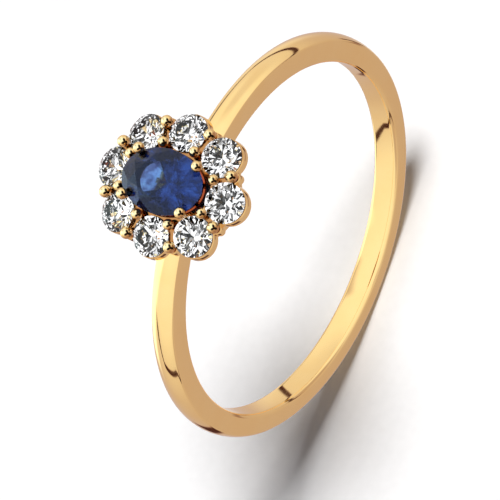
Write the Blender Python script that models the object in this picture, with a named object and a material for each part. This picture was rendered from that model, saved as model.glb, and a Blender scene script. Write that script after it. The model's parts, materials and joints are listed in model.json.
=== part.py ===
"""Halo engagement ring: gold shank and cluster head, one oval sapphire, eight round diamonds.

The ring stands upright with its head at the top. X runs along the band where it passes
under the head, Y runs along the finger, and the outside of the band touches Z = 0.
Lengths below are in millimetres and turn into metres when each mesh is finished.
"""

import math

import bmesh
import bpy
from mathutils import Matrix, Vector

MM = 0.001
FIT_GAP = 0.012  # solder gap left between two pieces that fit together

# Shank: a D-section band, narrower and deeper beside the head than at the back.
FINGER_RADIUS = 8.6
BACK_WIDTH = 1.36
BACK_WALL = 0.94  # height of the side wall between the finger hole and the domed outside
HEAD_WIDTH = 1.2
HEAD_WALL = 1.21
CROWN = 0.2  # how far the dome rises over the side walls
INNER_EDGE_RADIUS = 0.25
SHANK_STEPS = 96
DOME_STEPS = 12
EDGE_STEPS = 4

# Heights over the middle of the finger hole.
RING_CENTRE = FINGER_RADIUS + BACK_WALL + CROWN
DIAMOND_HEIGHT = 11.38
SAPPHIRE_HEIGHT = 12.09
OUTER_BEAD_HEIGHT = 11.53
INNER_BEAD_HEIGHT = 11.77
CLAW_BEAD_HEIGHT = 12.37

# Stones.
DIAMOND_RADIUS = 0.945
DIAMOND_TILT = math.radians(12.5)
SAPPHIRE_HALF_WIDTH = 1.52
SAPPHIRE_HALF_LENGTH = 2.15
GIRDLE_STEPS = 48
CROWN_ANGLE = math.radians(34.5)
PAVILION_ANGLE = math.radians(40.9)
TABLE_SHARE = 0.56
GIRDLE_SHARE = 0.05

# Plan positions in one quarter of the head, mirrored into the other three.
DIAMOND_ON_X = 2.49
DIAMOND_ON_Y = 3.06
DIAMOND_DIAGONAL = (1.9, 2.09)
OUTER_BEADS = ((2.69, 1.19), (1.22, 2.99))
INNER_BEADS = ((1.74, 0.87), (0.79, 2.28))
CLAW_BEAD = (1.11, 1.6)

# Claws.
OUTER_BEAD_RADIUS = 0.29
OUTER_WIRE_RADIUS = 0.16
INNER_BEAD_RADIUS = 0.265
INNER_WIRE_RADIUS = 0.1
CLAW_BEAD_RADIUS = 0.27
CLAW_WIRE_RADIUS = 0.13
CLAW_PEG_RADIUS = 0.09
CLAW_PEG_LENGTH = 0.3
CLAW_STRAIGHT = 0.06  # the sapphire claws rise straight, then bow out round the girdle
CLAW_BEND = 0.25
CLAW_BOW = 0.8
CLAW_STEPS = 7
WIRE_STEPS = 16
BEAD_STEPS = 6

# Halo tray: a domed plate with a petal outline that carries the diamonds.
TRAY_THICKNESS = 0.5
TRAY_BELOW_GIRDLE = 0.08
TRAY_OPENING = (1.45, 2.0)
PETAL_RADIUS = 0.96
COVE_RADIUS = 0.25
SEAT_HOLE_SHARE = 0.5
TRAY_STEPS = 144

# Collet: the oval ring that the sapphire's lower facets rest in.
COLLET_TOP = 11.6
COLLET_BOTTOM = 10.98
COLLET_BORE = (0.85, 1.2)
COLLET_STEPS = 48
CLAW_FOOT_RADIUS = 1.6

# Base rail: the oval rail under the tray, shaped to saddle the shank.
RAIL_AXES = (2.25, 2.75)
RAIL_WIDTH = 0.5
RAIL_UNDERSIDE_RADIUS = 9.84
RAIL_THICKNESS = 0.42
RAIL_STEPS = 72
WIRE_DEPTH_IN_RAIL = 0.3

GOLD = (0.93, 0.69, 0.36)
SAPPHIRE_BLUE = (0.03, 0.06, 0.3)
DIAMOND_WHITE = (0.93, 0.94, 0.95)


def clear_scene():
    """Remove whatever the file opened with."""
    for item in list(bpy.data.objects):
        bpy.data.objects.remove(item, do_unlink=True)


def material(name, colour, roughness, metallic, transmission=0.0, ior=1.5):
    """A Principled material."""
    made = bpy.data.materials.new(name)
    made.use_nodes = True
    made.diffuse_color = (*colour, 1.0)
    shader = made.node_tree.nodes["Principled BSDF"]
    shader.inputs["Base Color"].default_value = (*colour, 1.0)
    shader.inputs["Roughness"].default_value = roughness
    shader.inputs["Metallic"].default_value = metallic
    shader.inputs["Transmission Weight"].default_value = transmission
    shader.inputs["IOR"].default_value = ior
    return made


def finish(name, mesh_data, paint, smooth_angle=None, centre=RING_CENTRE):
    """Turn a bmesh in ring millimetres into a named object standing on Z = 0."""
    bmesh.ops.recalc_face_normals(mesh_data, faces=mesh_data.faces)
    mesh_data.transform(Matrix.Scale(MM, 4))
    mesh = bpy.data.meshes.new(name)
    mesh_data.to_mesh(mesh)
    mesh_data.free()
    mesh.materials.append(paint)
    if smooth_angle is not None:
        mesh.shade_smooth()
        mesh.set_sharp_from_angle(angle=math.radians(smooth_angle))
    made = bpy.data.objects.new(name, mesh)
    made.location = (0.0, 0.0, centre * MM)
    bpy.context.scene.collection.objects.link(made)
    return made


def loft(mesh_data, sections, closed):
    """Join rings of equal length with quads. A closed loft runs back to its first ring."""
    rings = [[mesh_data.verts.new(point) for point in section] for section in sections]
    pairs = list(zip(rings, rings[1:]))
    if closed:
        pairs.append((rings[-1], rings[0]))
    for ring, after in pairs:
        for i in range(len(ring)):
            j = (i + 1) % len(ring)
            mesh_data.faces.new((ring[i], ring[j], after[j], after[i]))
    if not closed:
        mesh_data.faces.new(list(reversed(rings[0])))
        mesh_data.faces.new(rings[-1])


def oval_radius(axes, angle):
    """Distance from the middle of an oval to its edge in the given direction."""
    return 1.0 / math.hypot(math.cos(angle) / axes[0], math.sin(angle) / axes[1])


def four_corners(point):
    """The given plan point mirrored into the four quarters of the head."""
    x, y = point
    return [(x, y), (-x, y), (-x, -y), (x, -y)]


def around(points):
    """Plan points sorted by direction, starting at +X."""
    return sorted(points, key=lambda p: math.atan2(p[1], p[0]) % math.tau)


def smooth_ramp(value):
    """Ease from 0 to 1."""
    value = min(max(value, 0.0), 1.0)
    return value * value * (3.0 - 2.0 * value)


def shank_section(angle, growth=0.0):
    """Section of the band at an angle from the head, grown outwards by growth."""
    # The width stays constant over the lower third, which keeps the side walls flat there.
    flare = smooth_ramp((math.cos(angle) + 0.5) / 1.5)
    share = (1.0 + math.cos(angle)) / 2.0
    half = (BACK_WIDTH + (HEAD_WIDTH - BACK_WIDTH) * flare) / 2.0 + growth
    wall = BACK_WALL + (HEAD_WALL - BACK_WALL) * share
    profile = []
    for i in range(EDGE_STEPS + 1):
        turn = math.pi / 2.0 * i / EDGE_STEPS
        y = half - INNER_EDGE_RADIUS * (1.0 - math.sin(turn))
        profile.append((y, INNER_EDGE_RADIUS * (1.0 - math.cos(turn)) - growth))
    for i in range(DOME_STEPS + 1):
        across = math.cos(math.pi * i / DOME_STEPS)
        crisp = 1.0 - across * across
        rounded = math.sqrt(max(crisp, 0.0))
        rise = rounded + (crisp - rounded) * share
        profile.append((half * across, wall + CROWN * rise + growth))
    for y, height in reversed(profile[: EDGE_STEPS + 1]):
        profile.append((-y, height))
    return [
        (
            (FINGER_RADIUS + height) * math.sin(angle),
            y,
            (FINGER_RADIUS + height) * math.cos(angle),
        )
        for y, height in profile
    ]


def shank_mesh(growth=0.0):
    """The whole band as a closed sweep."""
    mesh_data = bmesh.new()
    angles = [math.tau * i / SHANK_STEPS for i in range(SHANK_STEPS)]
    loft(mesh_data, [shank_section(angle, growth) for angle in angles], closed=True)
    return mesh_data


def cut_plane(mesh_data, normal, point):
    """Grind one flat facet: remove what lies beyond the plane and close the cut."""
    geometry = mesh_data.verts[:] + mesh_data.edges[:] + mesh_data.faces[:]
    bmesh.ops.bisect_plane(
        mesh_data, geom=geometry, dist=1e-6, plane_co=point, plane_no=normal, clear_outer=True
    )
    rim = [edge for edge in mesh_data.edges if edge.is_boundary]
    bmesh.ops.contextual_create(mesh_data, geom=rim)


def facet_row(mesh_data, count, offset, angle, radius, height, side):
    """Grind a row of facets, all at one angle, through points of the given radius and height."""
    for i in range(count):
        turn = math.tau * (i + offset) / count
        out = Vector((math.cos(turn), math.sin(turn), 0.0))
        normal = out * math.sin(angle) + Vector((0.0, 0.0, side * math.cos(angle)))
        cut_plane(mesh_data, normal, out * radius + Vector((0.0, 0.0, height)))


def brilliant_mesh(half_width, half_length):
    """A brilliant cut stone, round or oval, with its girdle on Z = 0."""
    mesh_data = bmesh.new()
    bmesh.ops.create_cone(
        mesh_data, cap_ends=True, segments=GIRDLE_STEPS, radius1=1.0, radius2=1.0, depth=4.0
    )
    edge = GIRDLE_SHARE / 2.0
    crown = edge + (1.0 - TABLE_SHARE) * math.tan(CROWN_ANGLE)
    half_step = math.cos(math.pi / 16.0)
    cut_plane(mesh_data, (0.0, 0.0, 1.0), (0.0, 0.0, crown))
    facet_row(mesh_data, 8, 0.0, CROWN_ANGLE, 1.0, edge, 1.0)
    star_radius = TABLE_SHARE * math.cos(math.pi / 8.0)
    facet_row(mesh_data, 8, 0.5, CROWN_ANGLE * 0.62, star_radius, crown, 1.0)
    facet_row(mesh_data, 16, 0.5, CROWN_ANGLE * 1.2, half_step, edge, 1.0)
    facet_row(mesh_data, 8, 0.0, PAVILION_ANGLE, 1.0, -edge, -1.0)
    facet_row(mesh_data, 16, 0.5, PAVILION_ANGLE * 1.035, half_step, -edge, -1.0)
    mesh_data.transform(Matrix.Diagonal((half_width, half_length, half_width, 1.0)))
    return mesh_data


def diamond_places():
    """Plan positions of the eight diamonds, from +X round."""
    places = [(DIAMOND_ON_X, 0.0), (-DIAMOND_ON_X, 0.0), (0.0, DIAMOND_ON_Y), (0.0, -DIAMOND_ON_Y)]
    return around(places + four_corners(DIAMOND_DIAGONAL))


def diamond_frame(place):
    """Transform that puts a stone or its seat at its place, tilted outwards."""
    direction = math.atan2(place[1], place[0])
    move = Matrix.Translation((place[0], place[1], DIAMOND_HEIGHT))
    turn = Matrix.Rotation(direction, 4, "Z")
    return move @ turn @ Matrix.Rotation(DIAMOND_TILT, 4, "Y")


def revolve(profile, steps):
    """Closed body of revolution from (radius, height) points between its two end caps."""
    mesh_data = bmesh.new()
    turns = [math.tau * i / steps for i in range(steps)]
    sections = [[(r * math.cos(t), r * math.sin(t), z) for t in turns] for r, z in profile]
    loft(mesh_data, sections, closed=False)
    return mesh_data


def wire_mesh(path, bead_centre, bead_radius, wire_radius):
    """A round wire along a path that ends in a ball; path holds (point, radius) pairs."""
    stations = [(Vector(point), radius) for point, radius in path]
    end = Vector(bead_centre)
    heading = (end - stations[-1][0]).normalized()
    neck = math.acos(wire_radius / bead_radius)
    for i in range(BEAD_STEPS):
        turn = -neck + (neck + math.pi / 2.0) * i / BEAD_STEPS
        centre = end + heading * (bead_radius * math.sin(turn))
        stations.append((centre, bead_radius * math.cos(turn)))
    mesh_data = bmesh.new()
    points = [centre for centre, radius in stations]
    tip = end + heading * bead_radius
    rings = []
    for i, (centre, radius) in enumerate(stations):
        before = points[max(i - 1, 0)]
        after = points[i + 1] if i + 1 < len(points) else tip
        along = (after - before).normalized() if i < len(path) else heading
        side = along.cross(Vector((0.0, 1.0, 0.0))).normalized()
        up = side.cross(along)
        turns = [math.tau * j / WIRE_STEPS for j in range(WIRE_STEPS)]
        ring = [centre + (side * math.cos(t) + up * math.sin(t)) * radius for t in turns]
        rings.append(ring)
    loft(mesh_data, rings, closed=False)
    return mesh_data


def outer_claw_line(bead):
    """Foot and bead centre of an outer claw, which leans outwards from the base rail."""
    angle = math.atan2(bead[1], bead[0])
    reach = oval_radius(RAIL_AXES, angle)
    x = reach * math.cos(angle)
    top = math.sqrt((RAIL_UNDERSIDE_RADIUS + RAIL_THICKNESS) ** 2 - x * x)
    foot = Vector((x, reach * math.sin(angle), top - WIRE_DEPTH_IN_RAIL))
    return foot, Vector((bead[0], bead[1], OUTER_BEAD_HEIGHT))


def drill(line, radius, beyond):
    """A round cutter along a line of two points, run on past both by the given length."""
    start, end = line
    heading = (end - start).normalized()
    mesh_data = revolve(
        [(radius, -beyond), (radius, (end - start).length + beyond)], WIRE_STEPS
    )
    turn = heading.to_track_quat("Z", "Y").to_matrix().to_4x4()
    mesh_data.transform(Matrix.Translation(start) @ turn)
    return mesh_data


def cutter(name, shapes, paint):
    """One hidden tool object made of several separate closed shapes."""
    joined = bmesh.new()
    for shape in shapes:
        spare = bpy.data.meshes.new("spare")
        shape.to_mesh(spare)
        shape.free()
        joined.from_mesh(spare)
        bpy.data.meshes.remove(spare)
    made = finish(name, joined, paint)
    made.hide_render = True
    made.display_type = "WIRE"
    return made


def cut(body, tool):
    """Take the tool's shape out of the body."""
    made = body.modifiers.new(tool.name, "BOOLEAN")
    made.operation = "DIFFERENCE"
    made.solver = "EXACT"
    made.object = tool


def ray_to_circle(angle, centre, radius):
    """How far out a ray from the middle leaves a circle, or 0 where it misses."""
    turn = angle - math.atan2(centre[1], centre[0])
    reach = math.hypot(*centre)
    inside = radius * radius - (reach * math.sin(turn)) ** 2
    if inside < 0.0 or math.cos(turn) < 0.0:
        return 0.0
    return reach * math.cos(turn) + math.sqrt(inside)


def petal_outline(angle):
    """Edge of the tray: one petal round each diamond and a cove round each outer claw."""
    petals = [ray_to_circle(angle, place, PETAL_RADIUS) for place in diamond_places()]
    beads = [corner for bead in OUTER_BEADS for corner in four_corners(bead)]
    coves = [ray_to_circle(angle, bead, COVE_RADIUS) for bead in beads]
    return max(petals + coves)


def tray_top(angle, radius):
    """Height of the tray's upper face, which slopes like the diamonds do."""
    middle = oval_radius((DIAMOND_ON_X, DIAMOND_ON_Y), angle)
    slope = math.tan(DIAMOND_TILT) * (middle - radius)
    return DIAMOND_HEIGHT - TRAY_BELOW_GIRDLE + slope


def tray_section(angle):
    """Section of the tray from its oval opening to its petal edge."""
    inner = oval_radius(TRAY_OPENING, angle)
    outer = petal_outline(angle)
    middle = (inner + outer) / 2.0
    upper = [(radius, tray_top(angle, radius)) for radius in (inner, middle, outer)]
    lower = [(radius, height - TRAY_THICKNESS) for radius, height in reversed(upper)]
    x, y = math.cos(angle), math.sin(angle)
    return [(radius * x, radius * y, height) for radius, height in upper + lower]


def seat_mesh(place):
    """Cutter for one diamond: clears the girdle, follows the pavilion, drills through."""
    top = DIAMOND_RADIUS + FIT_GAP * 2.0
    hole = DIAMOND_RADIUS * SEAT_HOLE_SHARE
    edge = -GIRDLE_SHARE / 2.0 * DIAMOND_RADIUS - FIT_GAP
    cone = edge - (top - hole) * math.tan(PAVILION_ANGLE)
    profile = [(top, DIAMOND_RADIUS), (top, edge), (hole, cone), (hole, cone - DIAMOND_RADIUS)]
    mesh_data = revolve(profile, GIRDLE_STEPS)
    mesh_data.transform(diamond_frame(place))
    return mesh_data


def build_tray(gold):
    """The halo tray with its eight seats and sixteen claw holes."""
    mesh_data = bmesh.new()
    angles = [math.tau * i / TRAY_STEPS for i in range(TRAY_STEPS)]
    loft(mesh_data, [tray_section(angle) for angle in angles], closed=True)
    tray = finish("halo_tray", mesh_data, gold, smooth_angle=40)
    outer_drills = []
    for bead in OUTER_BEADS:
        for corner in four_corners(bead):
            outer_drills.append(drill(outer_claw_line(corner), OUTER_WIRE_RADIUS + FIT_GAP, 0.1))
    inner_drills = []
    for bead in INNER_BEADS:
        for x, y in four_corners(bead):
            line = (Vector((x, y, COLLET_BOTTOM - 0.5)), Vector((x, y, INNER_BEAD_HEIGHT)))
            inner_drills.append(drill(line, INNER_WIRE_RADIUS + FIT_GAP, 0.1))
    seats = [seat_mesh(place) for place in diamond_places()]
    cut(tray, cutter("seat_drills", seats, gold))
    cut(tray, cutter("outer_claw_drills", outer_drills, gold))
    cut(tray, cutter("inner_claw_drills", inner_drills, gold))


def claw_foot(corner):
    """Where a sapphire claw stands on the collet."""
    angle = math.atan2(corner[1], corner[0])
    return Vector((math.cos(angle), math.sin(angle), 0.0)) * CLAW_FOOT_RADIUS


def build_collet(gold):
    """Oval ring whose top edge is chamfered to the sapphire's pavilion."""
    depth = SAPPHIRE_HEIGHT - COLLET_TOP - SAPPHIRE_HALF_WIDTH * GIRDLE_SHARE / 2.0
    left = 1.0 - depth / (math.tan(PAVILION_ANGLE) * SAPPHIRE_HALF_WIDTH)
    mouth = [half * left + FIT_GAP * 3.0 for half in (SAPPHIRE_HALF_WIDTH, SAPPHIRE_HALF_LENGTH)]
    throat = COLLET_TOP - (mouth[0] - COLLET_BORE[0]) * math.tan(PAVILION_ANGLE)
    outer = [axis - FIT_GAP for axis in TRAY_OPENING]
    mesh_data = bmesh.new()
    sections = []
    for i in range(COLLET_STEPS):
        turn = math.tau * i / COLLET_STEPS
        x, y = math.cos(turn), math.sin(turn)
        sections.append(
            [
                (outer[0] * x, outer[1] * y, COLLET_BOTTOM),
                (outer[0] * x, outer[1] * y, COLLET_TOP),
                (mouth[0] * x, mouth[1] * y, COLLET_TOP),
                (COLLET_BORE[0] * x, COLLET_BORE[1] * y, throat),
                (COLLET_BORE[0] * x, COLLET_BORE[1] * y, COLLET_BOTTOM),
            ]
        )
    loft(mesh_data, sections, closed=True)
    collet = finish("sapphire_collet", mesh_data, gold, smooth_angle=40)
    top = Vector((0.0, 0.0, COLLET_TOP))
    peg_bottom = top - Vector((0.0, 0.0, CLAW_PEG_LENGTH + FIT_GAP))
    cuts = []
    for corner in four_corners(CLAW_BEAD):
        foot = claw_foot(corner)
        cuts.append(drill((foot + peg_bottom, foot + top * 1.02), CLAW_PEG_RADIUS + FIT_GAP, 0.0))
    cut(collet, cutter("collet_drills", cuts, gold))


def build_rail(gold, shank_tool):
    """The base rail, saddled over the shank and drilled for the outer claws."""
    mesh_data = bmesh.new()
    sections = []
    for i in range(RAIL_STEPS):
        angle = math.tau * i / RAIL_STEPS
        middle = oval_radius(RAIL_AXES, angle)
        section = []
        for side, layer in ((-1, 0), (1, 0), (1, 1), (-1, 1)):
            radius = middle + side * RAIL_WIDTH / 2.0
            x = radius * math.cos(angle)
            arc = RAIL_UNDERSIDE_RADIUS + layer * RAIL_THICKNESS
            section.append((x, radius * math.sin(angle), math.sqrt(arc * arc - x * x)))
        sections.append(section)
    loft(mesh_data, sections, closed=True)
    rail = finish("base_rail", mesh_data, gold, smooth_angle=40)
    cuts = []
    for bead in OUTER_BEADS:
        for corner in four_corners(bead):
            cuts.append(drill(outer_claw_line(corner), OUTER_WIRE_RADIUS + FIT_GAP, FIT_GAP))
    cut(rail, shank_tool)
    cut(rail, cutter("rail_drills", cuts, gold))


def build_outer_claws(gold):
    """Eight claws that grip the diamonds from outside the halo."""
    corners = around([c for bead in OUTER_BEADS for c in four_corners(bead)])
    for number, corner in enumerate(corners, 1):
        foot, bead = outer_claw_line(corner)
        path = [(foot, OUTER_WIRE_RADIUS)]
        mesh_data = wire_mesh(path, bead, OUTER_BEAD_RADIUS, OUTER_WIRE_RADIUS)
        finish(f"outer_claw_{number}", mesh_data, gold, smooth_angle=60)


def build_inner_claws(gold):
    """Eight smaller claws that grip the diamonds from inside the halo."""
    corners = around([c for bead in INNER_BEADS for c in four_corners(bead)])
    for number, (x, y) in enumerate(corners, 1):
        angle = math.atan2(y, x)
        bottom = tray_top(angle, math.hypot(x, y)) - TRAY_THICKNESS
        path = [((x, y, bottom), INNER_WIRE_RADIUS)]
        bead = (x, y, INNER_BEAD_HEIGHT)
        mesh_data = wire_mesh(path, bead, INNER_BEAD_RADIUS, INNER_WIRE_RADIUS)
        finish(f"inner_claw_{number}", mesh_data, gold, smooth_angle=60)


def bezier(start, first, second, end, t):
    """Point of a cubic curve."""
    s = 1.0 - t
    return start * s**3 + first * (3 * s * s * t) + second * (3 * s * t * t) + end * t**3


def build_sapphire_claws(gold):
    """Four claws that rise from the collet and bend in over the sapphire's edge."""
    for number, corner in enumerate(around(four_corners(CLAW_BEAD)), 1):
        foot = claw_foot(corner)
        out = foot.normalized()
        bead = Vector((corner[0], corner[1], CLAW_BEAD_HEIGHT))
        standing = foot + Vector((0.0, 0.0, COLLET_TOP + FIT_GAP))
        peg_end = standing - Vector((0.0, 0.0, CLAW_PEG_LENGTH))
        start = standing + Vector((0.0, 0.0, CLAW_STRAIGHT))
        upright = start + Vector((0.0, 0.0, CLAW_BEND))
        elbow = out * (CLAW_FOOT_RADIUS + CLAW_BOW) + Vector((0.0, 0.0, SAPPHIRE_HEIGHT - 0.09))
        path = [(peg_end, CLAW_PEG_RADIUS), (standing, CLAW_PEG_RADIUS)]
        path.append((standing, CLAW_WIRE_RADIUS))
        for i in range(CLAW_STEPS):
            point = bezier(start, upright, elbow, bead, 0.6 * i / (CLAW_STEPS - 1))
            path.append((point, CLAW_WIRE_RADIUS))
        mesh_data = wire_mesh(path, bead, CLAW_BEAD_RADIUS, CLAW_WIRE_RADIUS)
        finish(f"sapphire_claw_{number}", mesh_data, gold, smooth_angle=60)


def build_stones(white, blue):
    """The oval centre stone and the eight stones of the halo."""
    centre = brilliant_mesh(SAPPHIRE_HALF_WIDTH, SAPPHIRE_HALF_LENGTH)
    centre.transform(Matrix.Translation((0.0, 0.0, SAPPHIRE_HEIGHT)))
    finish("sapphire", centre, blue)
    for number, place in enumerate(diamond_places(), 1):
        stone = brilliant_mesh(DIAMOND_RADIUS, DIAMOND_RADIUS)
        stone.transform(diamond_frame(place))
        finish(f"diamond_{number}", stone, white)


def main():
    clear_scene()
    gold = material("yellow_gold", GOLD, 0.12, 1.0)
    white = material("diamond_stone", DIAMOND_WHITE, 0.0, 0.0, transmission=1.0, ior=2.42)
    blue = material("sapphire_stone", SAPPHIRE_BLUE, 0.0, 0.0, transmission=0.6, ior=1.77)
    finish("shank", shank_mesh(), gold, smooth_angle=35)
    shank_tool = cutter("shank_clearance", [shank_mesh(FIT_GAP)], gold)
    build_rail(gold, shank_tool)
    build_tray(gold)
    build_collet(gold)
    build_outer_claws(gold)
    build_inner_claws(gold)
    build_sapphire_claws(gold)
    build_stones(white, blue)


main()
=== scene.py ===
"""Looks for the halo engagement ring: polished gold, a facetted sapphire and eight diamonds.

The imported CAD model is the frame. Lengths below are in millimetres, measured from the
middle of the finger hole, and turn into metres when each mesh is finished. Angles are in
degrees unless a line turns them into radians.
"""

import json
import math

import bmesh
import bpy
from mathutils import Matrix, Vector


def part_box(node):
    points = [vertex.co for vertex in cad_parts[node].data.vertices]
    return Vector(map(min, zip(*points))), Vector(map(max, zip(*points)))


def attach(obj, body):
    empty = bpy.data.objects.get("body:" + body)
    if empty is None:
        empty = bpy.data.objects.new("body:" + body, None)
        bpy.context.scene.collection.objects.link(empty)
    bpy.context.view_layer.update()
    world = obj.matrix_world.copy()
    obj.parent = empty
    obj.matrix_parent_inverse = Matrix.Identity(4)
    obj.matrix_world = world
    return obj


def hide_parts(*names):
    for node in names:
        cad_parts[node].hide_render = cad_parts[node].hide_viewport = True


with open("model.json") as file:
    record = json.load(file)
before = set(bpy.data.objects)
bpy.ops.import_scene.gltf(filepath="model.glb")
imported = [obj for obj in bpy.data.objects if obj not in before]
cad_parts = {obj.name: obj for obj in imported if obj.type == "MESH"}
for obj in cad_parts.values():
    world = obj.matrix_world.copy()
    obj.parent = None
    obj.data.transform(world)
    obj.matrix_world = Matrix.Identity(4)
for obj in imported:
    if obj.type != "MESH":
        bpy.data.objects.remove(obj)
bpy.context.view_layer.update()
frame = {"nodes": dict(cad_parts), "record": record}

MM = 0.001
UP = Vector((0.0, 0.0, 1.0))
CLOSE = 0.001  # points nearer than this are level with each other


def opening_middle(name):
    """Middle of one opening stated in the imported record."""
    stated = [o for o in frame["record"]["physics"]["openings"] if o["name"] == name]
    low, high = stated[0]["box_m"]
    return (Vector(low) + Vector(high)) / 2.0


RING_MIDDLE = opening_middle("finger_hole")

# The photograph's viewpoint: where the camera stands, seen from the ring.
CAMERA_SIDE = (-94.37, 59.92)  # azimuth and elevation
CAMERA_ROLL = -66.3
CAMERA_DISTANCE = 243.1
CAMERA_AIM = (-1.581, -0.658)  # right and up of the ring's middle, as the camera sees it
SENSOR_WIDTH = 36.0
FOCAL_LENGTH = 371.6
CAMERA_CLIP = (0.01, 10.0)  # metres
FLOOR_HALF = 0.6  # metres

# Shank: fillets and mesh steps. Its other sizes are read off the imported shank.
FLARE_REACH = 0.5  # the band widens from this cosine beyond its sides down to the head
INNER_EDGE_RADIUS = 0.25
HEAD_EDGE_FILLET = 0.05
BACK_EDGE_FILLET = 0.34
SHANK_STEPS = 360
DOME_STEPS = 24
FILLET_STEPS = 6

# Claws: ball ends on round wires.
OUTER_BEAD_RADIUS = 0.29
OUTER_WIRE_RADIUS = 0.16
INNER_BEAD_RADIUS = 0.265
INNER_WIRE_RADIUS = 0.1
CLAW_BEAD_RADIUS = 0.27
CLAW_WIRE_RADIUS = 0.13
CLAW_PEG_RADIUS = 0.09
CLAW_PEG_LENGTH = 0.3
CLAW_STRAIGHT = 0.06
CLAW_BEND = 0.25
CLAW_BOW = 0.8
CLAW_DROP = 0.37  # from the ball's middle down to the widest point of the wire
CLAW_STEPS = 16
CLAW_REACH = 0.6  # share of the curve that the wire follows before the ball
WIRE_STEPS = 32
BEAD_STEPS = 16
BEAD_TIP = 0.3  # part of a step left open at the tip and closed with a flat face

# Halo tray.
DIAMOND_TILT = math.radians(12.5)
PAVILION_ANGLE = math.radians(40.9)
PAVILION_DEPTH = 0.89  # girdle to culet, in parts of the stone's radius
TRAY_THICKNESS = 0.5
TRAY_BELOW_GIRDLE = 0.08
TRAY_OPENING = (1.45, 2.0)
PETAL_RADIUS = 0.96
COVE_RADIUS = 0.25
SEAT_HOLE_SHARE = 0.5
TRAY_EDGE_FILLET = 0.06
EDGE_STEPS = 4
TRAY_STEPS = 360
SEAT_STEPS = 64
SEAT_GAP = 0.02
SHARP_ANGLE = math.radians(30)  # edges that fold more than this stay crisp

# Collet and base rail.
COLLET_MOUTH = (1.05, 1.46)
COLLET_BORE = (0.85, 1.2)
COLLET_CHAMFER = 0.06
RAIL_WIDTH = 0.5
RAIL_THICKNESS = 0.42
RAIL_EDGE_FILLET = 0.08
OVAL_STEPS = 128

# Metal. Grain counts are noise cells in a metre.
GOLD_BRIGHT = (1.0, 0.72, 0.32)
GOLD_DEEP = (0.99, 0.69, 0.29)
GRAIN_RANGE = (0.3, 0.7)  # noise values where a look is fully one or fully the other
GOLD_ROUGHNESS = (0.04, 0.1)
GOLD_GRAIN = 900.0
RIPPLE_GRAIN = 2500.0
RIPPLE_STRENGTH = 0.02
RIPPLE_DEPTH = 0.00002  # metres
# Collet colours: red-brown painted reflection and shade, standing in for gold that mirrors
# gold.
COLLET_PAINTED_BRIGHT = (0.45, 0.1, 0.04)
COLLET_PAINTED_DEEP = (0.3, 0.06, 0.02)
TRAY_PAINTED_REFLECTION = (0.5, 0.24, 0.09, 1.0)  # painted reflection and shade on the tray's top, between the stones
TRAY_PAINTED_REFLECTION_EDGE = (0.5, 0.9)  # how far up a face looks where the painted reflection sets in

# Painted reflection in the ball ends' colour: a dark three-armed gap, a painted highlight, a
# painted warm shade.
GAP_SIDE = (-95.0, 38.0)
GAP_ARMS = 3.0
GAP_TURN = 36.0
GAP_REACH = 46.0
GAP_LOBE = 22.0
GAP_SOFT = 4.0
GAP_PAINTED_DARK = (0.015, 0.006, 0.003, 1.0)
CLAW_PAINTED_HIGHLIGHT_SIDE = (85.0, 60.0)
CLAW_PAINTED_HIGHLIGHT_EDGE = (0.35, 0.85)
CLAW_PAINTED_HIGHLIGHT = (1.0, 0.87, 0.5, 1.0)
CLAW_PAINTED_SHADE_SIDE = (-119.0, -27.0)
CLAW_PAINTED_SHADE_EDGE = (-0.2, 0.6)
CLAW_PAINTED_SHADE = (0.62, 0.33, 0.13, 1.0)
STRAIGHT_ON = (0.0002, 0.001)  # seen straight on, as when textures are baked, the painted reflection is left out and gold is plain

# Stones.
STONE_SHEEN = (0.25, 0.25, 0.25, 1.0)
DIAMOND_IOR = 2.42
DIAMOND_GRAIN = 3000.0
DIAMOND_DULL = (0.93, 0.94, 0.96)
DIAMOND_CLEAR = (0.99, 0.99, 1.0)
DIAMOND_TINT_RANGE = (0.35, 0.65)
DIAMOND_HAZE_RANGE = (0.4, 0.7)
DIAMOND_ROUGHNESS = (0.0, 0.015)
SAPPHIRE_IOR = 1.77
SAPPHIRE_GRAIN = 1500.0
SAPPHIRE_SHEEN = (0.3, 0.38, 0.65, 1.0)
SAPPHIRE_ROUGHNESS = (0.06, 0.12)
SAPPHIRE_BODY = (0.09, 0.31, 0.65, 1.0)
SAPPHIRE_DENSITY = 800.0
ZONE_STEPS = (0.42, 0.5, 0.6)
ZONE_DARK = (0.05, 0.05, 0.12)
ZONE_BLUE = (0.2, 0.3, 0.55)
ZONE_LIGHT = (0.35, 0.6, 0.9)

# Studio, as polished metal reflects it. Directions are in degrees, azimuth from +X and
# elevation from the floor. Brightness 1 is white paper.
STUDIO_HEIGHTS = (
    (-90.0, 0.46),
    (-60.0, 0.51),
    (-45.0, 0.54),
    (-30.0, 0.59),
    (-5.0, 0.82),
    (15.0, 1.04),
    (35.0, 1.1),
    (60.0, 1.18),
)
# ((azimuth, width, elevation, height, soft edge), brightness)
STUDIO_PANELS = (
    ((-137.0, 34.0, -8.0, 38.0, 20.0), 0.5),
    ((-46.0, 34.0, -8.0, 38.0, 20.0), 0.46),
    ((-87.0, 5.0, -12.0, 60.0, 4.0), 0.7),
    ((15.0, 34.0, 16.0, 50.0, 22.0), 0.84),
    ((50.0, 40.0, -20.0, 30.0, 24.0), 0.9),
    ((80.0, 34.0, 43.0, 22.0, 8.0), 0.6),
    ((110.0, 36.0, 8.0, 70.0, 14.0), 1.8),
    ((50.0, 80.0, -66.0, 14.0, 12.0), 0.8),
    ((168.0, 84.0, -56.0, 8.0, 3.0), 0.03),
    ((-32.0, 56.0, -56.5, 4.0, 3.0), 0.25),
    ((5.0, 20.0, -54.0, 14.0, 4.0), 0.03),
)
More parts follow.
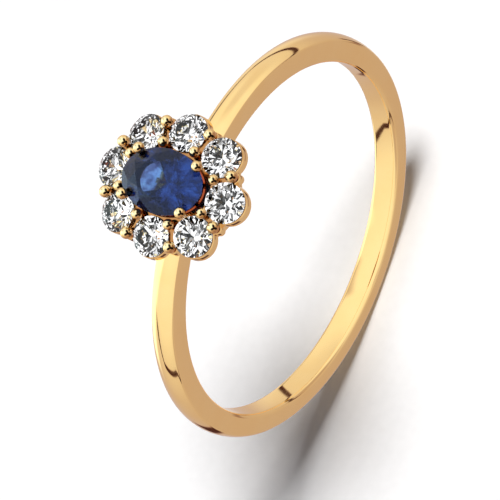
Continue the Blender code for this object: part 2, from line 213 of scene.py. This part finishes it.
# The dark line round the studio: its height is the sine of an elevation.
HORIZON_LEVEL = -0.19
HORIZON_TILT = -0.055
HORIZON_SLOPE = 0.65
HORIZON_RISE = 1.3  # the line climbs towards +Y and -X, up to HORIZON_TOP
HORIZON_LEAN = -0.3
HORIZON_START = -1.0
HORIZON_TOP = (0.08, 0.16)
HORIZON_SWELL = 0.15  # the line grows wider by this share of its climb
HORIZON_WIDTH = (0.024, 0.045)
HORIZON_BREAK = (-90.0, 24.0, 40.0)  # azimuth and half widths where the line fades out
HORIZON_DARK = 0.03
STUDIO_WARMTH = 0.73  # power on the red share: shades turn warmer as they darken
AMBIENT = (0.1, 0.094, 0.108, 1.0)
WHITE = (1.0, 1.0, 1.0, 1.0)

# What the stones see of the studio: the camera's dark side and small dark cards.
CAMERA_SHADE = (22.0, 30.0)  # angle from the camera's direction where dark turns to light
CARD_SCALE = 5.0
CARD_ORDER = 20.3
CARD_SHARE = (0.38, 0.5)
CARD_DARK = 0.12
STONE_LIGHT = 1.52

# Key lamp and floor paper.
KEY_SIDE = (-8.0, 69.0)
KEY_SPREAD = 20.0
KEY_STRENGTH = 3.43
PAPER_GRAIN = 2000.0
PAPER_DEEP = (0.9, 0.9, 0.9)
PAPER_BRIGHT = (0.93, 0.93, 0.93)
PAPER_ROUGHNESS = 0.9


def ring_box(node):
    """Box of a CAD node in ring millimetres."""
    low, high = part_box(node)
    return (low - RING_MIDDLE) / MM, (high - RING_MIDDLE) / MM


def placed(name, mesh_data):
    """Turn a bmesh in ring millimetres into an object in its place in the scene."""
    bmesh.ops.recalc_face_normals(mesh_data, faces=mesh_data.faces)
    mesh_data.transform(Matrix.Translation(RING_MIDDLE) @ Matrix.Scale(MM, 4))
    mesh = bpy.data.meshes.new(name)
    mesh_data.to_mesh(mesh)
    mesh_data.free()
    made = bpy.data.objects.new(name, mesh)
    bpy.context.scene.collection.objects.link(made)
    return made


def finish(mesh_data, paint, node):
    """A polished gold piece that stands for one CAD node."""
    piece = placed(node + "_polished", mesh_data)
    piece.data.materials.append(paint)
    piece.data.shade_smooth()
    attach(piece, "root")
    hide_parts(node)
    return piece


def loft(mesh_data, sections, closed):
    """Join rings of equal length with quads. A closed loft runs back to its first ring."""
    rings = [[mesh_data.verts.new(point) for point in section] for section in sections]
    pairs = list(zip(rings, rings[1:]))
    if closed:
        pairs.append((rings[-1], rings[0]))
    for ring, after in pairs:
        for i in range(len(ring)):
            j = (i + 1) % len(ring)
            mesh_data.faces.new((ring[i], ring[j], after[j], after[i]))
    if not closed:
        mesh_data.faces.new(list(reversed(rings[0])))
        mesh_data.faces.new(rings[-1])


def arc(centre, radius, start, end, steps):
    """Points of a flat arc, ends included."""
    turns = [start + (end - start) * i / steps for i in range(steps + 1)]
    return [(centre[0] + radius * math.cos(t), centre[1] + radius * math.sin(t)) for t in turns]


def smooth_ramp(value):
    """Ease from 0 to 1."""
    value = min(max(value, 0.0), 1.0)
    return value * value * (3.0 - 2.0 * value)


def oval_radius(axes, angle):
    """Distance from the middle of an oval to its edge in the given direction."""
    return 1.0 / math.hypot(math.cos(angle) / axes[0], math.sin(angle) / axes[1])


def station_sizes(points, side):
    """Bore radius, half width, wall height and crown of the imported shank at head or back."""
    here = [p for p in points if abs(p.x) < CLOSE and p.z * side > 0.0]
    finger = min(abs(p.z) for p in here)
    half = max(p.y for p in here)
    wall = max(abs(p.z) for p in here if p.y > half - CLOSE) - finger
    return finger, half, wall, max(abs(p.z) for p in here) - finger - wall


SHANK_POINTS = [(v.co - RING_MIDDLE) / MM for v in frame["nodes"]["shank"].data.vertices]
FINGER_RADIUS, HEAD_HALF, HEAD_WALL, CROWN = station_sizes(SHANK_POINTS, 1.0)
BACK_HALF, BACK_WALL = station_sizes(SHANK_POINTS, -1.0)[1:3]


def shank_section(angle):
    """Section of the band at an angle from the head: fillet, side wall, fillet and dome."""
    flare = smooth_ramp((math.cos(angle) + FLARE_REACH) / (1.0 + FLARE_REACH))
    share = (1.0 + math.cos(angle)) / 2.0
    half = BACK_HALF + (HEAD_HALF - BACK_HALF) * flare
    wall = BACK_WALL + (HEAD_WALL - BACK_WALL) * share
    fillet = BACK_EDGE_FILLET + (HEAD_EDGE_FILLET - BACK_EDGE_FILLET) * share
    dome = (half * half + CROWN * CROWN) / (2.0 * CROWN)
    middle = wall + CROWN - dome
    rise = math.sqrt((dome - fillet) ** 2 - (half - fillet) ** 2)
    turn = math.atan2(rise, half - fillet)
    inner = (half - INNER_EDGE_RADIUS, INNER_EDGE_RADIUS)
    right = arc(inner, INNER_EDGE_RADIUS, -math.pi / 2.0, 0.0, FILLET_STEPS)
    right += arc((half - fillet, middle + rise), fillet, 0.0, turn, FILLET_STEPS)
    top = arc((0.0, middle), dome, turn, math.pi - turn, DOME_STEPS)[1:-1]
    profile = right + top + [(-y, height) for y, height in reversed(right)]
    return [
        (
            (FINGER_RADIUS + height) * math.sin(angle),
            y,
            (FINGER_RADIUS + height) * math.cos(angle),
        )
        for y, height in profile
    ]


def build_shank(gold):
    """The band."""
    mesh_data = bmesh.new()
    angles = [math.tau * i / SHANK_STEPS for i in range(SHANK_STEPS)]
    loft(mesh_data, [shank_section(angle) for angle in angles], closed=True)
    finish(mesh_data, gold, "shank")


def wire_mesh(path, bead_centre, bead_radius, wire_radius):
    """A round wire along a path that ends in a ball."""
    end = Vector(bead_centre)
    points = [Vector(point) for point in path]
    heading = (end - points[-1]).normalized()
    radii = [wire_radius] * len(points)
    neck = math.acos(wire_radius / bead_radius)
    for i in range(BEAD_STEPS + 1):
        turn = -neck + (neck + math.pi / 2.0) * i / (BEAD_STEPS + BEAD_TIP)
        points.append(end + heading * (bead_radius * math.sin(turn)))
        radii.append(bead_radius * math.cos(turn))
    mesh_data = bmesh.new()
    rings = []
    for i, (centre, radius) in enumerate(zip(points, radii)):
        before = points[max(i - 1, 0)]
        after = points[min(i + 1, len(points) - 1)]
        along = (after - before).normalized() if i < len(path) else heading
        side = along.cross(Vector((0.0, 1.0, 0.0))).normalized()
        up = side.cross(along)
        turns = [math.tau * j / WIRE_STEPS for j in range(WIRE_STEPS)]
        rings.append([centre + (side * math.cos(t) + up * math.sin(t)) * radius for t in turns])
    loft(mesh_data, rings, closed=False)
    return mesh_data


def outward(low, high, inset):
    """Corner of a box on the side away from the ring's Y and X axes, drawn in by inset."""
    x = high.x - inset if high.x + low.x > 0.0 else low.x + inset
    y = high.y - inset if high.y + low.y > 0.0 else low.y + inset
    return x, y


def inward(low, high, inset):
    """Corner of a box on the side towards the ring's Y and X axes, drawn in by inset."""
    x = low.x + inset if high.x + low.x > 0.0 else high.x - inset
    y = low.y + inset if high.y + low.y > 0.0 else high.y - inset
    return x, y


def build_outer_claw(node, gold):
    """A claw that leans outwards from the base rail and grips two diamonds."""
    low, high = ring_box(node)
    bead = (*outward(low, high, OUTER_BEAD_RADIUS), high.z - OUTER_BEAD_RADIUS)
    foot = (*inward(low, high, OUTER_WIRE_RADIUS), low.z)
    mesh_data = wire_mesh([foot], bead, OUTER_BEAD_RADIUS, OUTER_WIRE_RADIUS)
    finish(mesh_data, gold, node)


def build_inner_claw(node, gold):
    """A short claw between two diamonds and the sapphire."""
    low, high = ring_box(node)
    x, y = (low.x + high.x) / 2.0, (low.y + high.y) / 2.0
    bead = (x, y, high.z - INNER_BEAD_RADIUS)
    mesh_data = wire_mesh([(x, y, low.z)], bead, INNER_BEAD_RADIUS, INNER_WIRE_RADIUS)
    finish(mesh_data, gold, node)


def bezier(start, first, second, end, t):
    """Point of a cubic curve."""
    s = 1.0 - t
    return start * s**3 + first * (3 * s * s * t) + second * (3 * s * t * t) + end * t**3


def build_sapphire_claw(node, gold):
    """A claw that rises from the collet and bends in over the sapphire's edge."""
    low, high = ring_box(node)
    bead = Vector((*outward(low, high, CLAW_BEAD_RADIUS), high.z - CLAW_BEAD_RADIUS))
    out = Vector((*inward(low, high, CLAW_PEG_RADIUS), 0.0))
    peg_end = out + UP * low.z
    start = peg_end + UP * (CLAW_PEG_LENGTH + CLAW_STRAIGHT)
    upright = start + UP * CLAW_BEND
    elbow = out + out.normalized() * CLAW_BOW + UP * (bead.z - CLAW_DROP)
    path = [peg_end]
    for i in range(CLAW_STEPS):
        share = CLAW_REACH * i / (CLAW_STEPS - 1)
        path.append(bezier(start, upright, elbow, bead, share))
    mesh_data = wire_mesh(path, bead, CLAW_BEAD_RADIUS, CLAW_WIRE_RADIUS)
    finish(mesh_data, gold, node)


def diamond_seat(node):
    """Middle of a diamond's girdle, its radius and the direction it leans in."""
    low, high = ring_box(node)
    first_low, first_high = ring_box("diamond_1")
    radius = (first_high.y - first_low.y) / 2.0
    height = low.z + PAVILION_DEPTH * radius * math.cos(DIAMOND_TILT)
    middle = Vector(((low.x + high.x) / 2.0, (low.y + high.y) / 2.0, height))
    return middle, radius, math.atan2(middle.y, middle.x)


DIAMONDS = [diamond_seat(f"diamond_{i}") for i in range(1, 9)]
OUTER_BEADS = [outward(*ring_box(f"outer_claw_{i}"), OUTER_BEAD_RADIUS) for i in range(1, 9)]


def ray_to_circle(angle, centre, radius):
    """How far out a ray from the middle leaves a circle, or 0 where it misses."""
    turn = angle - math.atan2(centre[1], centre[0])
    reach = math.hypot(centre[0], centre[1])
    inside = radius * radius - (reach * math.sin(turn)) ** 2
    if inside < 0.0 or math.cos(turn) < 0.0:
        return 0.0
    return reach * math.cos(turn) + math.sqrt(inside)


def petal_outline(angle):
    """Edge of the tray: one petal round each diamond and a cove round each outer claw."""
    petals = [ray_to_circle(angle, middle, PETAL_RADIUS) for middle, _, _ in DIAMONDS]
    coves = [ray_to_circle(angle, bead, COVE_RADIUS) for bead in OUTER_BEADS]
    return max(petals + coves)


def rounded_box(left, right, bottom, top, fillet):
    """Outline of a box with round corners, anticlockwise from the lower right."""
    corners = (
        ((right - fillet, bottom + fillet), -0.5),
        ((right - fillet, top - fillet), 0.0),
        ((left + fillet, top - fillet), 0.5),
        ((left + fillet, bottom + fillet), 1.0),
    )
    outline = []
    for centre, start in corners:
        outline += arc(centre, fillet, start * math.pi, (start + 0.5) * math.pi, EDGE_STEPS)
    return outline


def tray_section(angle):
    """Section of the tray from its oval opening to its petal edge, sloped like the stones."""
    inner = oval_radius(TRAY_OPENING, angle)
    outer = petal_outline(angle)
    middle = oval_radius((DIAMONDS[0][0].x, DIAMONDS[2][0].y), angle)
    top = DIAMONDS[0][0].z - TRAY_BELOW_GIRDLE
    outline = rounded_box(inner, outer, top - TRAY_THICKNESS, top, TRAY_EDGE_FILLET)
    x, y = math.cos(angle), math.sin(angle)
    slope = math.tan(DIAMOND_TILT)
    return [(r * x, r * y, height + slope * (middle - r)) for r, height in outline]


def seat_mesh(seat):
    """Cutter for one diamond: clears the girdle, follows the pavilion, drills through."""
    middle, radius, azimuth = seat
    top = radius + SEAT_GAP
    hole = radius * SEAT_HOLE_SHARE
    cone = -(top - hole) * math.tan(PAVILION_ANGLE) - SEAT_GAP
    profile = [(top, radius), (top, -SEAT_GAP), (hole, cone), (hole, cone - radius)]
    turns = [math.tau * i / SEAT_STEPS for i in range(SEAT_STEPS)]
    mesh_data = bmesh.new()
    sections = [[(r * math.cos(t), r * math.sin(t), z) for t in turns] for r, z in profile]
    loft(mesh_data, sections, closed=False)
    turn = Matrix.Rotation(azimuth, 4, "Z") @ Matrix.Rotation(DIAMOND_TILT, 4, "Y")
    mesh_data.transform(Matrix.Translation(middle) @ turn)
    return mesh_data


def build_tray(gold):
    """The halo tray with its eight seats cut."""
    mesh_data = bmesh.new()
    angles = [math.tau * i / TRAY_STEPS for i in range(TRAY_STEPS)]
    loft(mesh_data, [tray_section(angle) for angle in angles], closed=True)
    tray = finish(mesh_data, gold, "halo_tray")
    cutter_data = bmesh.new()
    for seat in DIAMONDS:
        one = seat_mesh(seat)
        spare = bpy.data.meshes.new("spare")
        one.to_mesh(spare)
        one.free()
        cutter_data.from_mesh(spare)
        bpy.data.meshes.remove(spare)
    tool = placed("seat_drills", cutter_data)
    cut = tray.modifiers.new("seats", "BOOLEAN")
    cut.solver = "EXACT"
    cut.object = tool
    graph = bpy.context.evaluated_depsgraph_get()
    tray.data = bpy.data.meshes.new_from_object(tray.evaluated_get(graph))
    tray.modifiers.clear()
    bpy.data.objects.remove(tool)
    tray.data.set_sharp_from_angle(angle=SHARP_ANGLE)


def build_collet(gold):
    """Oval ring whose top edge is chamfered to the sapphire's pavilion."""
    low, high = ring_box("sapphire_collet")
    drop = (COLLET_MOUTH[0] - COLLET_BORE[0]) * math.tan(PAVILION_ANGLE)
    mesh_data = bmesh.new()
    sections = []
    for i in range(OVAL_STEPS):
        turn = math.tau * i / OVAL_STEPS
        x, y = math.cos(turn), math.sin(turn)
        rows = [(high.x, high.y, low.z), (high.x, high.y, high.z - COLLET_CHAMFER)]
        rows.append((high.x - COLLET_CHAMFER, high.y - COLLET_CHAMFER, high.z))
        rows += [(*COLLET_MOUTH, high.z), (*COLLET_BORE, high.z - drop), (*COLLET_BORE, low.z)]
        sections.append([(a * x, b * y, z) for a, b, z in rows])
    loft(mesh_data, sections, closed=True)
    collet = finish(mesh_data, gold, "sapphire_collet")
    collet.data.set_sharp_from_angle(angle=SHARP_ANGLE)


def build_rail(gold):
    """The base rail, saddled over the shank."""
    low, high = ring_box("base_rail")
    axes = (high.x - RAIL_WIDTH / 2.0, high.y - RAIL_WIDTH / 2.0)
    mesh_data = bmesh.new()
    sections = []
    for i in range(OVAL_STEPS):
        angle = math.tau * i / OVAL_STEPS
        middle = oval_radius(axes, angle)
        outline = rounded_box(
            middle - RAIL_WIDTH / 2.0,
            middle + RAIL_WIDTH / 2.0,
            high.z - RAIL_THICKNESS,
            high.z,
            RAIL_EDGE_FILLET,
        )
        section = []
        for radius, arch in outline:
            x = radius * math.cos(angle)
            section.append((x, radius * math.sin(angle), math.sqrt(arch * arch - x * x)))
        sections.append(section)
    loft(mesh_data, sections, closed=True)
    finish(mesh_data, gold, "base_rail")


class Shading:
    """Short hand for building one node tree."""

    def __init__(self, tree):
        self.tree = tree

    def feed(self, socket, value):
        """Link or set one input."""
        if isinstance(value, bpy.types.NodeSocket):
            self.tree.links.new(value, socket)
        else:
            socket.default_value = value

    def maths(self, operation, *values):
        """One maths node."""
        made = self.tree.nodes.new("ShaderNodeMath")
        made.operation = operation
        for socket, value in zip(made.inputs, values):
            self.feed(socket, value)
        return made.outputs[0]

    def ease(self, value, start, end, low=0.0, high=1.0):
        """Smooth step of a value from low at start to high at end."""
        made = self.tree.nodes.new("ShaderNodeMapRange")
        made.interpolation_type = "SMOOTHSTEP"
        ranges = (value, start, end, low, high)
        for key, number in zip(("Value", "From Min", "From Max", "To Min", "To Max"), ranges):
            self.feed(made.inputs[key], number)
        return made.outputs["Result"]

    def dot(self, first, second):
        """Dot product of two directions."""
        made = self.tree.nodes.new("ShaderNodeVectorMath")
        made.operation = "DOT_PRODUCT"
        self.feed(made.inputs[0], first)
        self.feed(made.inputs[1], second)
        return made.outputs["Value"]

    def mix(self, share, first, second):
        """Blend of two colours."""
        made = self.tree.nodes.new("ShaderNodeMix")
        made.data_type = "RGBA"
        self.feed(made.inputs[0], share)
        self.feed(made.inputs[6], first)
        self.feed(made.inputs[7], second)
        return made.outputs[2]

    def ramp(self, value, stops):
        """Colour ramp through (place, colour) stops."""
        made = self.tree.nodes.new("ShaderNodeValToRGB")
        elements = made.color_ramp.elements
        for place, _ in stops[2:]:
            elements.new(place)
        for element, (place, colour) in zip(elements, stops):
            element.position = place
            element.color = (*colour, 1.0)
        self.feed(made.inputs["Fac"], value)
        return made.outputs["Color"]

    def noise(self, scale, detail, place=None, order=0.0):
        """Noise texture, on the object's own coordinates unless a place is given."""
        made = self.tree.nodes.new("ShaderNodeTexNoise")
        made.noise_dimensions = "4D"
        made.inputs["W"].default_value = order
        made.inputs["Scale"].default_value = scale
        made.inputs["Detail"].default_value = detail
        if place is None:
            place = self.tree.nodes.new("ShaderNodeTexCoord").outputs["Object"]
        self.feed(made.inputs["Vector"], place)
        return made.outputs["Fac"]


def direction(azimuth, elevation):
    """Unit vector towards a place in the studio, in degrees."""
    azimuth, elevation = math.radians(azimuth), math.radians(elevation)
    level = math.cos(elevation)
    return (level * math.cos(azimuth), level * math.sin(azimuth), math.sin(elevation))


def new_material(name):
    """A new node material, the short hand for its tree and its Principled shader."""
    paint = bpy.data.materials.new(name)
    paint.use_nodes = True
    tree = paint.node_tree
    return paint, Shading(tree), tree.nodes["Principled BSDF"]


def gold_material(name, bright, deep):
    """High polish gold with faint wear and ripple in its polish."""
    paint, shade, shader = new_material(name)
    wear = shade.noise(GOLD_GRAIN, 4.0)
    colour = shade.ramp(wear, list(zip(GRAIN_RANGE, (deep, bright))))
    shade.feed(shader.inputs["Base Color"], colour)
    shader.inputs["Metallic"].default_value = 1.0
    shade.feed(shader.inputs["Roughness"], shade.ease(wear, *GRAIN_RANGE, *GOLD_ROUGHNESS))
    bump = shade.tree.nodes.new("ShaderNodeBump")
    bump.inputs["Strength"].default_value = RIPPLE_STRENGTH
    bump.inputs["Distance"].default_value = RIPPLE_DEPTH
    shade.feed(bump.inputs["Height"], shade.noise(RIPPLE_GRAIN, 3.0))
    shade.feed(shader.inputs["Normal"], bump.outputs["Normal"])
    return paint


def claw_gold_material():
    """Gold of the ball ends, with a painted reflection in its colour: a dark three-armed gap, a
    highlight and a warm shade.
    """
    paint = gold_material("claw_gold", GOLD_BRIGHT, GOLD_DEEP)
    shade = Shading(paint.node_tree)
    shader = shade.tree.nodes["Principled BSDF"]
    plain = shader.inputs["Base Color"].links[0].from_socket
    # The colours below follow the direction of the reflection: painted reflection, not the
    # gold's own colour.
    mirrored = shade.tree.nodes.new("ShaderNodeTexCoord").outputs["Reflection"]
    azimuth, elevation = GAP_SIDE
    east = direction(azimuth + 90.0, 0.0)
    north = direction(azimuth, elevation + 90.0)
    facing = shade.dot(mirrored, direction(*GAP_SIDE))
    away = shade.maths("DEGREES", shade.maths("ARCCOSINE", facing))
    turn = shade.maths("ARCTAN2", shade.dot(mirrored, north), shade.dot(mirrored, east))
    arms = shade.maths("SUBTRACT", turn, math.radians(GAP_TURN))
    lobes = shade.maths("COSINE", shade.maths("MULTIPLY", arms, GAP_ARMS))
    edge = shade.maths("ADD", GAP_REACH, shade.maths("MULTIPLY", lobes, GAP_LOBE))
    clear = shade.ease(shade.maths("SUBTRACT", away, edge), -GAP_SOFT, GAP_SOFT)
    # Painted highlight on the bright side and painted warm shade on the lower side.
    painted_highlight_share = shade.ease(shade.dot(mirrored, direction(*CLAW_PAINTED_HIGHLIGHT_SIDE)), *CLAW_PAINTED_HIGHLIGHT_EDGE)
    painted_shade_share = shade.ease(shade.dot(mirrored, direction(*CLAW_PAINTED_SHADE_SIDE)), *CLAW_PAINTED_SHADE_EDGE)
    painted_sides = shade.mix(painted_shade_share, shade.mix(painted_highlight_share, plain, CLAW_PAINTED_HIGHLIGHT), CLAW_PAINTED_SHADE)
    # Where a ball faces the viewer straight on, the painted reflection is left out.
    slant = shade.tree.nodes.new("ShaderNodeLayerWeight").outputs["Facing"]
    aslant = shade.ease(slant, *STRAIGHT_ON)
    painted_look = shade.mix(aslant, plain, shade.mix(clear, GAP_PAINTED_DARK, painted_sides))
    shade.feed(shader.inputs["Base Color"], painted_look)
    return paint


def tray_gold_material():
    """Gold of the tray, with deep red-brown painted on top as reflection and shade of stones
    and gold mirroring each other.
    """
    paint = gold_material("tray_gold", GOLD_BRIGHT, GOLD_DEEP)
    shade = Shading(paint.node_tree)
    shader = shade.tree.nodes["Principled BSDF"]
    plain = shader.inputs["Base Color"].links[0].from_socket
    facing = shade.tree.nodes.new("ShaderNodeTexCoord").outputs["Normal"]
    # Faces that look up get the painted reflection and shade colour.
    top = shade.ease(shade.dot(facing, tuple(UP)), *TRAY_PAINTED_REFLECTION_EDGE)
    shade.feed(shader.inputs["Base Color"], shade.mix(top, plain, TRAY_PAINTED_REFLECTION))
    return paint


def diamond_material():
    """Clear stone with diamond's strong refraction and a trace of polish haze."""
    paint, shade, shader = new_material("clear_diamond")
    haze = shade.noise(DIAMOND_GRAIN, 3.0)
    tint = shade.ramp(haze, list(zip(DIAMOND_TINT_RANGE, (DIAMOND_DULL, DIAMOND_CLEAR))))
    shade.feed(shader.inputs["Base Color"], tint)
    polish = shade.ease(haze, *DIAMOND_HAZE_RANGE, *DIAMOND_ROUGHNESS)
    shade.feed(shader.inputs["Roughness"], polish)
    shader.inputs["Transmission Weight"].default_value = 1.0
    shader.inputs["IOR"].default_value = DIAMOND_IOR
    shader.inputs["Specular Tint"].default_value = STONE_SHEEN
    return paint


def sapphire_material():
    """Deep blue stone: colour zones on its facets and absorption through its body."""
    paint, shade, shader = new_material("blue_sapphire")
    zones = shade.noise(SAPPHIRE_GRAIN, 2.0)
    tint = shade.ramp(zones, list(zip(ZONE_STEPS, (ZONE_DARK, ZONE_BLUE, ZONE_LIGHT))))
    shade.feed(shader.inputs["Base Color"], tint)
    polish = shade.ease(zones, *GRAIN_RANGE, *SAPPHIRE_ROUGHNESS)
    shade.feed(shader.inputs["Roughness"], polish)
    shader.inputs["Transmission Weight"].default_value = 1.0
    shader.inputs["IOR"].default_value = SAPPHIRE_IOR
    shader.inputs["Specular Tint"].default_value = SAPPHIRE_SHEEN
    body = shade.tree.nodes.new("ShaderNodeVolumeAbsorption")
    body.inputs["Color"].default_value = SAPPHIRE_BODY
    body.inputs["Density"].default_value = SAPPHIRE_DENSITY
    shade.feed(shade.tree.nodes["Material Output"].inputs["Volume"], body.outputs["Volume"])
    return paint


def make_camera():
    """Camera at the photograph's viewing angle."""
    away = Vector(direction(*CAMERA_SIDE))
    roll = Matrix.Rotation(math.radians(CAMERA_ROLL), 3, "Z")
    turn = away.to_track_quat("Z", "Y").to_matrix() @ roll
    aim = RING_MIDDLE + turn @ Vector((*CAMERA_AIM, 0.0)) * MM
    data = bpy.data.cameras.new("photo_camera")
    data.sensor_width = SENSOR_WIDTH
    data.lens = FOCAL_LENGTH
    data.clip_start, data.clip_end = CAMERA_CLIP
    camera = bpy.data.objects.new("photo_camera", data)
    camera.matrix_world = Matrix.Translation(aim + away * CAMERA_DISTANCE * MM) @ turn.to_4x4()
    bpy.context.scene.collection.objects.link(camera)
    bpy.context.scene.camera = camera


def make_floor():
    """Pale studio floor under the ring."""
    mesh = bpy.data.meshes.new("studio_floor")
    signs = ((-1, -1), (1, -1), (1, 1), (-1, 1))
    corners = [(x * FLOOR_HALF, y * FLOOR_HALF, 0.0) for x, y in signs]
    mesh.from_pydata(corners, [], [(0, 1, 2, 3)])
    floor = bpy.data.objects.new("studio_floor", mesh)
    bpy.context.scene.collection.objects.link(floor)
    paint, shade, shader = new_material("floor_paper")
    grain = shade.noise(PAPER_GRAIN, 3.0)
    tone = shade.ramp(grain, list(zip(GRAIN_RANGE, (PAPER_DEEP, PAPER_BRIGHT))))
    shade.feed(shader.inputs["Base Color"], tone)
    shader.inputs["Roughness"].default_value = PAPER_ROUGHNESS
    shader.inputs["Specular IOR Level"].default_value = 0.0
    floor.data.materials.append(paint)
    floor.visible_glossy = False
    floor.visible_transmission = False


def make_key_light():
    """One soft lamp, placed so that the head's shadow falls beside the ring's lower side."""
    data = bpy.data.lights.new("key_lamp", "SUN")
    data.energy = KEY_STRENGTH
    data.angle = math.radians(KEY_SPREAD)
    lamp = bpy.data.objects.new("key_lamp", data)
    away = Vector(direction(*KEY_SIDE))
    lamp.rotation_euler = away.to_track_quat("Z", "Y").to_euler()
    lamp.visible_glossy = False
    lamp.visible_transmission = False
    bpy.context.scene.collection.objects.link(lamp)


def panel(shade, azimuth, elevation, place):
    """1 inside one panel of the studio and 0 outside it."""
    middle, width, height_middle, height, soft = place
    across = shade.maths("WRAP", shade.maths("SUBTRACT", azimuth, middle), 180.0, -180.0)
    along = shade.maths("SUBTRACT", elevation, height_middle)
    inside = 1.0
    for offset, size in ((across, width), (along, height)):
        reach = shade.maths("ABSOLUTE", offset)
        edge = shade.ease(reach, size / 2.0 - soft / 2.0, size / 2.0 + soft / 2.0, 1.0, 0.0)
        inside = shade.maths("MULTIPLY", inside, edge)
    return inside


def horizon_clear(shade, sides, azimuth):
    """0 on the dark line round the studio and 1 away from it."""
    x, y, z = sides
    level = shade.maths("MULTIPLY_ADD", x, HORIZON_TILT, HORIZON_LEVEL)
    horizon = shade.maths("MINIMUM", shade.maths("MULTIPLY", y, HORIZON_SLOPE), level)
    behind = shade.maths("MULTIPLY_ADD", x, HORIZON_LEAN, HORIZON_START)
    rising = shade.maths("MULTIPLY_ADD", y, HORIZON_RISE, behind)
    swell = shade.maths("MAXIMUM", shade.maths("SUBTRACT", rising, horizon), 0.0)
    horizon = shade.maths("MAXIMUM", horizon, rising)
    gap = shade.maths("ABSOLUTE", shade.maths("SUBTRACT", z, horizon))
    gap = shade.maths("SUBTRACT", gap, shade.maths("MULTIPLY", swell, HORIZON_SWELL))
    clear = shade.ease(gap, *HORIZON_WIDTH)
    middle, near, far = HORIZON_BREAK
    aside = shade.maths("ABSOLUTE", shade.maths("SUBTRACT", azimuth, middle))
    drawn = shade.maths("SUBTRACT", 1.0, shade.ease(aside, near, far))
    clear = shade.maths("MAXIMUM", clear, drawn)
    return shade.maths("MAXIMUM", clear, shade.ease(z, *HORIZON_TOP))


def studio_tone(shade, sight):
    """Brightness of the studio seen in a direction."""
    split = shade.tree.nodes.new("ShaderNodeSeparateXYZ")
    shade.feed(split.inputs[0], sight)
    x, y, z = split.outputs
    elevation = shade.maths("DEGREES", shade.maths("ARCSINE", z))
    azimuth = shade.maths("DEGREES", shade.maths("ARCTAN2", y, x))
    height = shade.maths("DIVIDE", shade.maths("ADD", elevation, 90.0), 180.0)
    steps = [((e + 90.0) / 180.0, (b / 2.0, b / 2.0, b / 2.0)) for e, b in STUDIO_HEIGHTS]
    tone = shade.maths("MULTIPLY", shade.ramp(height, steps), 2.0)
    for place, brightness in STUDIO_PANELS:
        inside = panel(shade, azimuth, elevation, place)
        gain = shade.maths("MULTIPLY", shade.maths("SUBTRACT", brightness, tone), inside)
        tone = shade.maths("ADD", tone, gain)
    clear = horizon_clear(shade, (x, y, z), azimuth)
    return shade.maths("MULTIPLY", tone, shade.maths("MAXIMUM", clear, HORIZON_DARK))


def stone_tone(shade, sight):
    """Brightness the stones gather: white light broken by dark cards and the camera."""
    cards = shade.noise(CARD_SCALE, 1.0, sight, CARD_ORDER)
    bright = shade.ease(cards, *CARD_SHARE, CARD_DARK, STONE_LIGHT)
    facing = shade.dot(sight, direction(*CAMERA_SIDE))
    near, far = (math.cos(math.radians(angle)) for angle in CAMERA_SHADE)
    return shade.maths("MULTIPLY", bright, shade.ease(facing, near, far))


def make_world():
    """Studio: soft light on the floor, panels, flags and dark lines for polished metal."""
    world = bpy.data.worlds.new("studio")
    world.use_nodes = True
    shade = Shading(world.node_tree)
    sight = shade.tree.nodes.new("ShaderNodeTexCoord").outputs["Generated"]
    tone = studio_tone(shade, sight)
    mixed = shade.tree.nodes.new("ShaderNodeCombineColor")
    shade.feed(mixed.inputs[0], shade.maths("POWER", tone, STUDIO_WARMTH))
    shade.feed(mixed.inputs[1], tone)
    shade.feed(mixed.inputs[2], tone)
    rays = shade.tree.nodes.new("ShaderNodeLightPath").outputs
    stones = shade.mix(rays["Is Transmission Ray"], mixed.outputs[0], stone_tone(shade, sight))
    camera_view = shade.mix(rays["Is Camera Ray"], stones, WHITE)
    light = shade.mix(rays["Is Diffuse Ray"], camera_view, AMBIENT)
    shade.feed(world.node_tree.nodes["Background"].inputs["Color"], light)
    bpy.context.scene.world = world


make_camera()
make_floor()
make_key_light()
make_world()
gold = gold_material("polished_gold", GOLD_BRIGHT, GOLD_DEEP)
claw_gold = claw_gold_material()
build_shank(gold)
build_tray(tray_gold_material())
# The collet's colour is painted reflection and shade.
build_collet(gold_material("collet_gold", COLLET_PAINTED_BRIGHT, COLLET_PAINTED_DEEP))
build_rail(gold)
for number in range(1, 9):
    build_outer_claw(f"outer_claw_{number}", claw_gold)
    build_inner_claw(f"inner_claw_{number}", claw_gold)
for number in range(1, 5):
    build_sapphire_claw(f"sapphire_claw_{number}", claw_gold)
frame["nodes"]["sapphire"].data.materials[0] = sapphire_material()
clear_stone = diamond_material()
for number in range(1, 9):
    frame["nodes"][f"diamond_{number}"].data.materials[0] = clear_stone
bpy.context.scene.view_settings.view_transform = "Standard"
